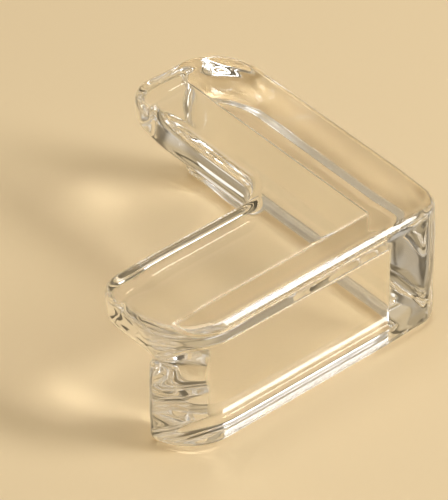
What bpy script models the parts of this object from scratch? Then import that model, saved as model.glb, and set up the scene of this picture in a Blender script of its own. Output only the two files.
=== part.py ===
# Clear corner guard, moulded in one piece from soft PVC.
#
# A thick L-shaped plate lies on top of the corner that it guards. Two skirts hang from the
# plate's outer edges and cover the corner's two side faces. Every free edge is rounded.
#
# Frame: the origin is the point where the plate's underside and the inner faces of both skirts
# meet, so it is the tip of the guarded corner, which fills x < 0, y > 0, z < 0.
# Arm one runs to -X with its skirt facing -Y, arm two runs to +Y with its skirt facing +X, and
# the part is its own mirror image across the plane y = -x.

import math

import bmesh
import bpy

MM = 0.001

# Driving sizes in millimetres
ARM_LENGTH = 55.0            # outside corner to arm tip, along an outer face
ARM_WIDTH = 21.0             # outer face to the wall of the notch
PLATE_THICKNESS = 7.8
SKIRT_DEPTH = 16.4           # underside of the plate to the foot of the skirts
SKIRT_THICKNESS = 8.8
OUTER_CORNER_RADIUS = 5.2    # upright outside corner
TIP_OUTER_RADIUS = 9.7       # arm tip in plan, at the outer face
TIP_INNER_RADIUS = 5.3       # arm tip in plan, at the notch
NOTCH_RADIUS = 3.9           # inside corner between the arms
SKIRT_END_RADIUS = 2.0       # upright inner edge at the end of each skirt
TOP_FILLET = 2.2             # upper edge, all round
UNDERSIDE_FILLET = 2.6       # lower edge of the plate where no skirt hangs
FOOT_FILLET = 2.0            # both lower edges of the skirts
FOOT_FLAT = 1.0              # least width of the flat strip left under a skirt

# Smoothness of the mesh: steps in a quarter turn
PLAN_STEPS = 10
END_STEPS = 4
FILLET_STEPS = 6

# A fillet can take no more than its wall allows
TOP_ROUND = min(TOP_FILLET, 0.45 * PLATE_THICKNESS)
UNDERSIDE_ROUND = min(UNDERSIDE_FILLET, 0.45 * PLATE_THICKNESS)
FOOT_ROUND = min(FOOT_FILLET, 0.5 * (SKIRT_THICKNESS - FOOT_FLAT))


def arc(centre_x, centre_y, radius, start, end, steps):
    """Points on an arc in plan, from one angle to another in degrees."""
    points = []
    for step in range(steps + 1):
        angle = math.radians(start + (end - start) * step / steps)
        points.append((centre_x + radius * math.cos(angle), centre_y + radius * math.sin(angle)))
    return points


def mirrored(half):
    """Close a half outline with its mirror image across the plane y = -x."""
    other = [(-y, -x) for x, y in reversed(half)]
    return half + other[1:-1]


def outer_corner(inset):
    """The upright outside corner, from the mirror plane to the outer face of arm two."""
    radius = max(OUTER_CORNER_RADIUS - inset, 0.0)
    centre = SKIRT_THICKNESS - inset - radius
    return arc(centre, -centre, radius, -45.0, 0.0, PLAN_STEPS // 2)


def plate_plan(inset):
    """Outline of the L-shaped plate, moved inwards by the inset."""
    outer_radius = max(TIP_OUTER_RADIUS - inset, 0.0)
    inner_radius = max(TIP_INNER_RADIUS - inset, 0.0)
    notch_radius = NOTCH_RADIUS + inset
    outer_face = SKIRT_THICKNESS - inset
    tip = ARM_LENGTH - SKIRT_THICKNESS - inset
    notch_x = SKIRT_THICKNESS - ARM_WIDTH + inset
    notch_y = ARM_WIDTH - SKIRT_THICKNESS - inset
    half = outer_corner(inset)
    half += arc(outer_face - outer_radius, tip - outer_radius, outer_radius, 0.0, 90.0, PLAN_STEPS)
    half += arc(notch_x + inner_radius, tip - inner_radius, inner_radius, 90.0, 180.0, PLAN_STEPS)
    half += arc(notch_x - notch_radius, notch_y + notch_radius, notch_radius, 0.0, -45.0,
                PLAN_STEPS // 2)
    return mirrored(half)


def skirt_plan(inset):
    """Outline of both skirts, joined at the outside corner, moved inwards by the inset.

    The inner face of a skirt cuts through the round tip of its arm, and a small radius eases
    the edge where they meet."""
    tip_radius = max(TIP_OUTER_RADIUS - inset, 0.0)
    end_radius = max(SKIRT_END_RADIUS - inset, 0.0)
    tip_x = SKIRT_THICKNESS - inset - tip_radius
    tip_y = ARM_LENGTH - SKIRT_THICKNESS - inset - tip_radius
    end_x = inset + end_radius
    reach = max(end_x - tip_x, 0.0)
    rise = math.sqrt((tip_radius - end_radius) ** 2 - reach ** 2)
    meeting = math.degrees(math.atan2(rise, reach))
    half = outer_corner(inset)
    half += arc(tip_x, tip_y, tip_radius, 0.0, meeting, PLAN_STEPS)
    half += arc(end_x, tip_y + rise, end_radius, meeting, 180.0, END_STEPS)
    half.append((inset, -inset))
    return mirrored(half)


def fillet(radius, edge_z, direction):
    """Insets and heights of a quarter round, from the flat face to the upright wall."""
    rings = []
    for step in range(FILLET_STEPS + 1):
        angle = math.radians(90.0 * step / FILLET_STEPS)
        inset = radius * (1.0 - math.sin(angle))
        rings.append((inset, edge_z + direction * radius * (1.0 - math.cos(angle))))
    return rings


def lofted(name, plan, rings):
    """One closed solid through the outlines that the plan gives at each ring."""
    shape = bmesh.new()
    loops = []
    for inset, height in rings:
        loops.append([shape.verts.new((x * MM, y * MM, height * MM)) for x, y in plan(inset)])
    for lower, upper in zip(loops, loops[1:]):
        for index in range(len(lower)):
            after = (index + 1) % len(lower)
            shape.faces.new((lower[index], lower[after], upper[after], upper[index]))
    shape.faces.new(list(reversed(loops[0])))
    shape.faces.new(loops[-1])
    bmesh.ops.remove_doubles(shape, verts=shape.verts, dist=0.001 * MM)
    mesh = bpy.data.meshes.new(name)
    shape.to_mesh(mesh)
    shape.free()
    mesh.shade_smooth()
    mesh.set_sharp_from_angle(angle=math.radians(35.0))
    piece = bpy.data.objects.new(name, mesh)
    bpy.context.collection.objects.link(piece)
    return piece


def clear_pvc():
    """Clear, glossy, faintly warm PVC."""
    material = bpy.data.materials.new("clear_pvc")
    material.use_nodes = True
    shader = material.node_tree.nodes["Principled BSDF"]
    shader.inputs["Base Color"].default_value = (0.97, 0.96, 0.94, 1.0)
    shader.inputs["Metallic"].default_value = 0.0
    shader.inputs["Roughness"].default_value = 0.04
    shader.inputs["IOR"].default_value = 1.53
    shader.inputs["Transmission Weight"].default_value = 1.0
    return material


for old in list(bpy.data.objects):
    bpy.data.objects.remove(old, do_unlink=True)

# The plate, with its underside at z = 0
plate_rings = fillet(UNDERSIDE_ROUND, 0.0, 1.0)
plate_rings += reversed(fillet(TOP_ROUND, PLATE_THICKNESS, -1.0))
guard = lofted("corner_guard", plate_plan, plate_rings)
guard.data.materials.append(clear_pvc())

# The skirts, from their feet up into the plate's wall
skirt_top = 0.5 * (UNDERSIDE_ROUND + PLATE_THICKNESS - TOP_ROUND)
skirt_rings = fillet(FOOT_ROUND, -SKIRT_DEPTH, 1.0)
skirt_rings.append((0.0, skirt_top))
skirts = lofted("skirt_form", skirt_plan, skirt_rings)
skirts.data.materials.append(guard.data.materials[0])
skirts.hide_render = True
skirts.display_type = 'WIRE'

# One moulding: the skirts are joined to the plate
union = guard.modifiers.new("Skirts", 'BOOLEAN')
union.operation = 'UNION'
union.solver = 'EXACT'
union.object = skirts
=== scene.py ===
import math

import bmesh
import bpy
import numpy as np
from mathutils import Matrix, Vector


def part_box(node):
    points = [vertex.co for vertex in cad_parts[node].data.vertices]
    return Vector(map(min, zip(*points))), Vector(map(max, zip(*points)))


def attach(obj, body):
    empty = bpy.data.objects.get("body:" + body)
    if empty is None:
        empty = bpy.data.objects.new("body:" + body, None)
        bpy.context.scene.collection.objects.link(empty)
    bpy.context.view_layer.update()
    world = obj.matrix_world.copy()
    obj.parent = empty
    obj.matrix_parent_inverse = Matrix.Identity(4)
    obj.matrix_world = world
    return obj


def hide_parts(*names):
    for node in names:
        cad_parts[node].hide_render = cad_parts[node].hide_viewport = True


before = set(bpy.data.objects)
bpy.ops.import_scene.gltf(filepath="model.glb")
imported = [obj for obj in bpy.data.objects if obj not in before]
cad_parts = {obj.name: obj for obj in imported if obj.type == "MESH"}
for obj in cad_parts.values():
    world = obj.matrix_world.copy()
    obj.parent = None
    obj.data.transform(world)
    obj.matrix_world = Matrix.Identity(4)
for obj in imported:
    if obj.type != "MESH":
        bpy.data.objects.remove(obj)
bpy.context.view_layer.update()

# Corner guard
# One moulding of clear soft PVC: a thick L-shaped plate with two skirts hanging from its outer
# edges. It comes out of a polished mould, so its faces are flat and glossy, its edges are full
# rounds, and the inside corners that fit over the guarded corner are nearly sharp.

MM = 0.001

# The frame's origin is the tip of the guarded corner, so the guard's box gives these sizes
guard_low, guard_high = [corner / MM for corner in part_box("corner_guard")]
skirt_thickness = guard_high.x
plate_thickness = guard_high.z
skirt_depth = -guard_low.z
arm_tip = -guard_low.x

# The rest are the moulding's own sizes, in millimetres
arm_width = 21.0
outer_corner_radius = 5.2
tip_outer_radius = 9.7
tip_inner_radius = 5.3
notch_radius = 3.9
top_fillet = 2.2
underside_fillet = 2.6
tip_underside_fillet = 3.6
skirt_end_fillet = 2.0
foot_fillet = 2.0
seat_fillet = 0.5

# The larger round under the tips is full this near to an arm's end, and gone this far from it
tip_round_full = 2.0
tip_round_gone = 11.0

# The round at a skirt's end turns into the one under the plate between these two heights
round_turn_low = -1.0
round_turn_high = 0.8

# Sink marks: their depth, the spacing of their waves, and how far from the tips and the outside
# corner they are still full, and gone. Each wave has its shares of x, y and z, and its start.
sink_depth = 0.28
sink_spacing = 8.5
sink_full = 4.8
sink_gone = 12.0
sink_waves = ((0.9, 0.0, 0.5, 1.0), (0.0, 0.8, -0.7, 2.2), (0.35, -0.3, 1.15, 0.0))


def rounded_meet(a, b, radius):
    """Distance to what two bodies share, with the edge between them rounded."""
    edge = np.hypot(np.maximum(radius + a, 0.0), np.maximum(radius + b, 0.0))
    return np.minimum(-radius, np.maximum(a, b)) + edge


def plan_distance(x, y):
    """Distance from the L-shaped outline in plan, below zero inside it."""
    half = 0.5 * (arm_tip + skirt_thickness)
    across = x - (skirt_thickness - half)
    along = y - (half - skirt_thickness)
    radius = np.where(across > 0.0, tip_outer_radius, tip_inner_radius)
    radius = np.where(along < 0.0, tip_outer_radius, radius)
    radius = np.where((across > 0.0) & (along < 0.0), outer_corner_radius, radius)
    side_x = np.abs(across) - half + radius
    side_y = np.abs(along) - half + radius
    square = np.hypot(np.maximum(side_x, 0.0), np.maximum(side_y, 0.0)) - radius
    square = square + np.minimum(np.maximum(side_x, side_y), 0.0)
    notch_x = x - (skirt_thickness - arm_width) + notch_radius
    notch_y = (arm_width - skirt_thickness) - y + notch_radius
    notch = np.hypot(np.maximum(notch_x, 0.0), np.maximum(notch_y, 0.0)) - notch_radius
    notch = notch + np.minimum(np.maximum(notch_x, notch_y), 0.0)
    return rounded_meet(square, -notch, tip_inner_radius)


def seat_distance(x, y, z):
    """Distance from the space left for the guarded corner, below zero inside it."""
    beside = [x + seat_fillet, seat_fillet - y, z + seat_fillet]
    outside = np.sqrt(sum(np.maximum(part, 0.0) ** 2 for part in beside))
    deepest = np.maximum(np.maximum(beside[0], beside[1]), beside[2])
    return outside + np.minimum(deepest, 0.0) - seat_fillet


def eased(value, start, end):
    """Zero before start and one after end, with a smooth turn between them."""
    share = np.clip((value - start) / (end - start), 0.0, 1.0)
    return share * share * (3.0 - 2.0 * share)


def sink_marks(x, y, z):
    """How far the skin has sunk, where the thick ends and the outside corner cooled last."""
    turn = 2.0 * math.pi / sink_spacing
    waves = np.zeros_like(x)
    for share_x, share_y, share_z, start in sink_waves:
        waves = waves + np.sin(turn * (share_x * x + share_y * y + share_z * z) + start)
    height = 0.5 + 0.5 * waves / len(sink_waves)
    from_corner = np.hypot(x - skirt_thickness, y + skirt_thickness)
    from_tip = np.minimum(x + arm_tip, arm_tip - y)
    share = 1.0 - eased(np.minimum(from_corner, from_tip), sink_full, sink_gone)
    return sink_depth * share * height


def guard_distance(points):
    """Distance from the guard's surface in millimetres, below zero inside the plastic."""
    x, y, z = points.T
    block = rounded_meet(plan_distance(x, y), z - plate_thickness, top_fillet)
    block = rounded_meet(block, -skirt_depth - z, foot_fillet)
    under_plate = eased(z, round_turn_low, round_turn_high)
    from_tip = np.minimum(x + arm_tip, arm_tip - y)
    at_tip = 1.0 - eased(from_tip, tip_round_full, tip_round_gone)
    plate_fillet = underside_fillet + at_tip * (tip_underside_fillet - underside_fillet)
    at_foot = eased(-z, skirt_depth - 2.0 * foot_fillet, skirt_depth - foot_fillet)
    fillet = skirt_end_fillet + under_plate * (plate_fillet - skirt_end_fillet)
    fillet = fillet + at_foot * (foot_fillet - fillet)
    return rounded_meet(block, -seat_distance(x, y, z), fillet) + sink_marks(x, y, z)


def guard_slope(points):
    """Direction in which the distance grows fastest, which is the surface's outward normal."""
    step = 0.002
    slope = np.zeros_like(points)
    for axis in range(3):
        offset = np.zeros(3)
        offset[axis] = step
        rise = guard_distance(points + offset) - guard_distance(points - offset)
        slope[:, axis] = rise / (2.0 * step)
    return slope


def pulled_to_surface(shape):
    """Move a mesh's corners onto the guard's true surface, and give the normal at each."""
    pull_rounds = 8
    longest_pull = 0.5
    least_slope = 0.5
    points = np.array([corner.co for corner in shape.verts]) / MM
    for _ in range(pull_rounds):
        slope = guard_slope(points)
        steepness = np.maximum((slope ** 2).sum(axis=1), least_slope ** 2)
        pull = np.clip(guard_distance(points) / steepness, -longest_pull, longest_pull)
        points = points - slope * pull[:, None]
    for corner, point in zip(shape.verts, points * MM):
        corner.co = point
    slope = guard_slope(points)
    return slope / np.linalg.norm(slope, axis=1)[:, None]


# An even skin of small faces over the solid
skin_step = 0.5
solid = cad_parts["corner_guard"]
rough = bpy.data.objects.new("rough_guard", solid.data.copy())
bpy.context.scene.collection.objects.link(rough)
even_skin = rough.modifiers.new("Even skin", 'REMESH')
even_skin.mode = 'VOXEL'
even_skin.voxel_size = skin_step * MM
skin = bpy.data.meshes.new_from_object(rough.evaluated_get(bpy.context.evaluated_depsgraph_get()))
bpy.data.objects.remove(rough)

# The skin is pulled onto the true surface, and its faces are split where they bend
split_rounds = 2
most_bend = math.radians(5.0)
shape = bmesh.new()
shape.from_mesh(skin)
for _ in range(split_rounds):
    normals = pulled_to_surface(shape)
    bmesh.ops.triangulate(shape, faces=shape.faces)
    shape.verts.index_update()
    ends = np.array([[corner.index for corner in edge.verts] for edge in shape.edges])
    bent = (normals[ends[:, 0]] * normals[ends[:, 1]]).sum(axis=1) < math.cos(most_bend)
    bent_edges = [edge for edge, is_bent in zip(shape.edges, bent) if is_bent]
    bmesh.ops.subdivide_edges(shape, edges=bent_edges, cuts=1)
bmesh.ops.triangulate(shape, faces=shape.faces)
normals = pulled_to_surface(shape)
shape.to_mesh(skin)
shape.free()
skin.shade_smooth()
skin.normals_split_custom_set_from_vertices([tuple(normal) for normal in normals])
skin.name = "moulded_guard"
guard = bpy.data.objects.new("moulded_guard", skin)
bpy.context.scene.collection.objects.link(guard)


def linear(code):
    """An sRGB hex colour as linear red, green, blue and alpha."""
    channels = [int(code[place:place + 2], 16) / 255.0 for place in (1, 3, 5)]
    return tuple(channel / 12.92 if channel <= 0.04045 else ((channel + 0.055) / 1.055) ** 2.4
                 for channel in channels) + (1.0,)


def add_node(holder, kind, settings=None, links=None):
    """Add a node to a material or a world, set its properties and sockets, and link outputs of
    other nodes to it."""
    node = holder.node_tree.nodes.new(kind)
    for name, value in (settings or {}).items():
        if isinstance(name, int) or name in node.inputs:
            node.inputs[name].default_value = value
        else:
            setattr(node, name, value)
    for name, (source, output) in (links or {}).items():
        holder.node_tree.links.new(source.outputs[output], node.inputs[name])
    return node


# A Mix node's colour sockets are told apart by their places, because their names repeat
mix_share = 0
mix_first = 6
mix_second = 7
mix_result = 2


def moulded_clear_pvc():
    """Clear soft PVC from a polished mould: water-clear, glossy and a little wavy."""
    flow_length = 9.0 * MM
    flow_height = 0.06 * MM
    grain_width = 0.7 * MM
    most_roughness = 0.035
    material = bpy.data.materials.new("moulded_clear_pvc")
    material.use_nodes = True
    material.node_tree.nodes.clear()
    place = add_node(material, 'ShaderNodeTexCoord')
    # Flow of the melt in the mould: slow waves that bend reflections slightly
    flow = add_node(material, 'ShaderNodeTexNoise', {"Scale": 1.0 / flow_length, "Detail": 1.0},
                    {"Vector": (place, "Object")})
    ripple = add_node(material, 'ShaderNodeBump', {"Strength": 0.35, "Distance": flow_height},
                      {"Height": (flow, "Fac")})
    # Skin of the soft PVC: a fine dull grain that softens the gloss
    grain = add_node(material, 'ShaderNodeTexNoise', {"Scale": 1.0 / grain_width, "Detail": 2.0},
                     {"Vector": (place, "Object")})
    gloss = add_node(material, 'ShaderNodeMapRange', {"To Min": 0.0, "To Max": most_roughness},
                     {"Value": (grain, "Fac")})
    # The plastic is nearly colourless, and turns a touch warmer and back along the flow
    tone = add_node(material, 'ShaderNodeMix',
                    {"data_type": 'RGBA', mix_first: linear("#FDFCF9"), mix_second: linear("#F8F6F1")},
                    {mix_share: (flow, "Fac")})
    surface = add_node(material, 'ShaderNodeBsdfPrincipled',
                       {"IOR": 1.53, "Transmission Weight": 1.0},
                       {"Base Color": (tone, mix_result), "Roughness": (gloss, "Result"),
                        "Normal": (ripple, "Normal")})
    add_node(material, 'ShaderNodeOutputMaterial', {}, {"Surface": (surface, "BSDF")})
    return material


guard.data.materials.clear()
guard.data.materials.append(moulded_clear_pvc())
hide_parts("corner_guard")
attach(guard, "root")

# Floor
# A plain pale sheet under the guard's feet. It is matt, and it looks the same to the camera and
# through the clear plastic, while it still takes the guard's shadow. A hair of air stays under
# the feet, because plastic and paper that share a face would show black there.

paper_colour = "#E6D0A8"
floor_reach = 3.0
foot_gap = 0.05
floor_z = (guard_low.z - foot_gap) * MM
floor_mesh = bpy.data.meshes.new("studio_floor")
floor_mesh.from_pydata([(-floor_reach, -floor_reach, floor_z), (floor_reach, -floor_reach, floor_z),
                        (floor_reach, floor_reach, floor_z), (-floor_reach, floor_reach, floor_z)],
                       [], [(0, 1, 2, 3)])
floor = bpy.data.objects.new("studio_floor", floor_mesh)
bpy.context.scene.collection.objects.link(floor)


def matt_paper():
    """Pale matt studio paper."""
    material = bpy.data.materials.new("matt_paper")
    material.use_nodes = True
    material.node_tree.nodes.clear()
    surface = add_node(material, 'ShaderNodeBsdfPrincipled',
                       {"Base Color": linear(paper_colour), "Roughness": 0.9})
    add_node(material, 'ShaderNodeOutputMaterial', {}, {"Surface": (surface, "BSDF")})
    return material


floor.data.materials.append(matt_paper())

# Lights
# Soft studio light: a bright bar at the front right that draws the white lines along the edges,
# a small weak panel low at the back right for the edges that face away, and a wide weak panel
# overhead. The pale paper sweeps up into pale walls, which have dim gaps between them.

guard_middle = Vector((-0.012, 0.012, 0.0))
panel_distance = 0.7


def soft_panel(name, direction, along, width, length, radiance):
    """A soft panel that faces the guard from a direction, with its length turned along another."""
    lamp = bpy.data.lights.new(name, 'AREA')
    lamp.shape = 'RECTANGLE'
    lamp.size = width
    lamp.size_y = length
    lamp.energy = radiance * math.pi * width * length
    panel = bpy.data.objects.new(name, lamp)
    away = Vector(direction).normalized()
    side = Vector(along).cross(away).normalized()
    turn = Matrix((side, away.cross(side), away)).transposed()
    panel.matrix_world = Matrix.Translation(guard_middle + away * panel_distance) @ turn.to_4x4()
    bpy.context.scene.collection.objects.link(panel)


soft_panel("front_bar", direction=(0.35, -0.4145, 0.443), along=(0.0, 0.67, 0.74),
           width=0.13, length=0.40, radiance=16.0)
soft_panel("back_panel", direction=(0.63, 0.67, 0.36), along=(0.0, 0.0, 1.0),
           width=0.20, length=0.12, radiance=0.9)
soft_panel("overhead_panel", direction=(0.0, 0.1, 1.0), along=(0.0, 1.0, 0.0),
           width=0.40, length=0.40, radiance=2.35)

world = bpy.data.worlds.new("studio")
bpy.context.scene.world = world
world.use_nodes = True
world.node_tree.nodes.clear()


def brightness_ramp(stops, value):
    """Brightness that follows another node's value, softly from stop to stop. Each stop is a
    value from 0 to 1 and its brightness."""
    ramp = add_node(world, 'ShaderNodeValToRGB', {}, {"Fac": value})
    ramp.color_ramp.interpolation = 'EASE'
    elements = ramp.color_ramp.elements
    elements[0].position = stops[0][0]
    elements[1].position = stops[-1][0]
    for share, _ in stops[1:-1]:
        elements.new(share)
    for element, (_, brightness) in zip(elements, stops):
        element.color = (brightness, brightness, brightness, 1.0)
    return ramp


# Walls round about by azimuth in degrees, with dim gaps
wall_stops = [(-180, 0.75), (-90, 0.75), (-70, 0.4), (-35, 0.4), (-20, 0.12), (8, 0.12), (22, 0.7),
              (36, 0.7), (48, 0.45), (62, 0.45), (72, 0.12), (80, 0.5), (96, 0.5), (106, 0.08),
              (122, 0.08), (136, 0.75), (180, 0.75)]
way = add_node(world, 'ShaderNodeTexCoord')
split = add_node(world, 'ShaderNodeSeparateXYZ', {}, {"Vector": (way, "Generated")})
azimuth = add_node(world, 'ShaderNodeMath', {"operation": 'ARCTAN2'},
                   {0: (split, "Y"), 1: (split, "X")})

# The azimuth becomes a share of a whole turn, and each wall leans by some degrees to one side
wall_lean = 20.0
turn_share = add_node(world, 'ShaderNodeMath',
                      {"operation": 'MULTIPLY_ADD', 1: 0.5 / math.pi, 2: 0.5},
                      {0: (azimuth, "Value")})
turn_share = add_node(world, 'ShaderNodeMath', {"operation": 'MULTIPLY_ADD', 1: wall_lean / 360.0},
                      {0: (split, "Z"), 2: (turn_share, "Value")})
walls = brightness_ramp([(degrees / 360.0 + 0.5, brightness) for degrees, brightness in wall_stops],
                        (turn_share, "Value"))

# A dim join just above the paper and a dim ledge higher up, by the sine of the height
height_stops = [(0.05, 0.04), (0.12, 1.0), (0.23, 1.0), (0.28, 0.2), (0.32, 0.2), (0.37, 1.0)]
heights = brightness_ramp(height_stops, (split, "Z"))
level = add_node(world, 'ShaderNodeMath', {"operation": 'MULTIPLY'},
                 {0: (walls, "Color"), 1: (heights, "Color")})

# The paper's colour low down turns to white high up, by the sine of the height
above_sweep = add_node(world, 'ShaderNodeMapRange',
                       {"interpolation_type": 'SMOOTHSTEP', "From Min": 0.5, "From Max": 0.95},
                       {"Value": (split, "Z")})
studio_tone = add_node(world, 'ShaderNodeMix',
                       {"data_type": 'RGBA', mix_first: linear(paper_colour),
                        mix_second: linear("#FFFDF9")},
                       {mix_share: (above_sweep, "Result")})
glow = add_node(world, 'ShaderNodeBackground', {},
                {"Color": (studio_tone, mix_result), "Strength": (level, "Value")})
add_node(world, 'ShaderNodeOutputWorld', {}, {"Surface": (glow, "Background")})

# Light is turned back inside the plastic many times before it leaves
most_bounces = 32
paths = bpy.context.scene.cycles
paths.max_bounces = most_bounces
paths.glossy_bounces = most_bounces
paths.transmission_bounces = most_bounces
paths.blur_glossy = 0.0

# Camera
# A long lens from the front left and above, as the photograph was taken. The turn, the distance
# and the aim were matched to the outline of the guard in the picture.

camera_turn = math.radians(-40.75)
camera_rise = math.radians(39.85)
camera_distance = 0.7132
camera_focal_px = 4550.7
picture_px = (448, 500)
aim_px = (250.56, 242.95)

# The aim is a point this far in from both outer faces and this far below the top
aim_inset = 22.0
aim_drop = 11.0
aim_point = Vector((skirt_thickness - aim_inset, aim_inset - skirt_thickness,
                    plate_thickness - aim_drop)) * MM

back = Vector((math.sin(camera_turn) * math.cos(camera_rise),
               -math.cos(camera_turn) * math.cos(camera_rise), math.sin(camera_rise)))
right = Vector((math.cos(camera_turn), math.sin(camera_turn), 0.0))
up = back.cross(right)
lens = bpy.data.cameras.new("camera")
lens.sensor_fit = 'AUTO'
lens.sensor_width = 36.0
lens.lens = camera_focal_px / max(picture_px) * lens.sensor_width
lens.clip_start = 0.01
lens.shift_x = (0.5 * picture_px[0] - aim_px[0]) / max(picture_px)
lens.shift_y = (aim_px[1] - 0.5 * picture_px[1]) / max(picture_px)
camera = bpy.data.objects.new("camera", lens)
bpy.context.scene.collection.objects.link(camera)
camera.matrix_world = Matrix.Translation(aim_point + back * camera_distance) @ Matrix(
    (right, up, back)).transposed().to_4x4()
bpy.context.scene.camera = camera
bpy.context.scene.view_settings.view_transform = 'Standard'
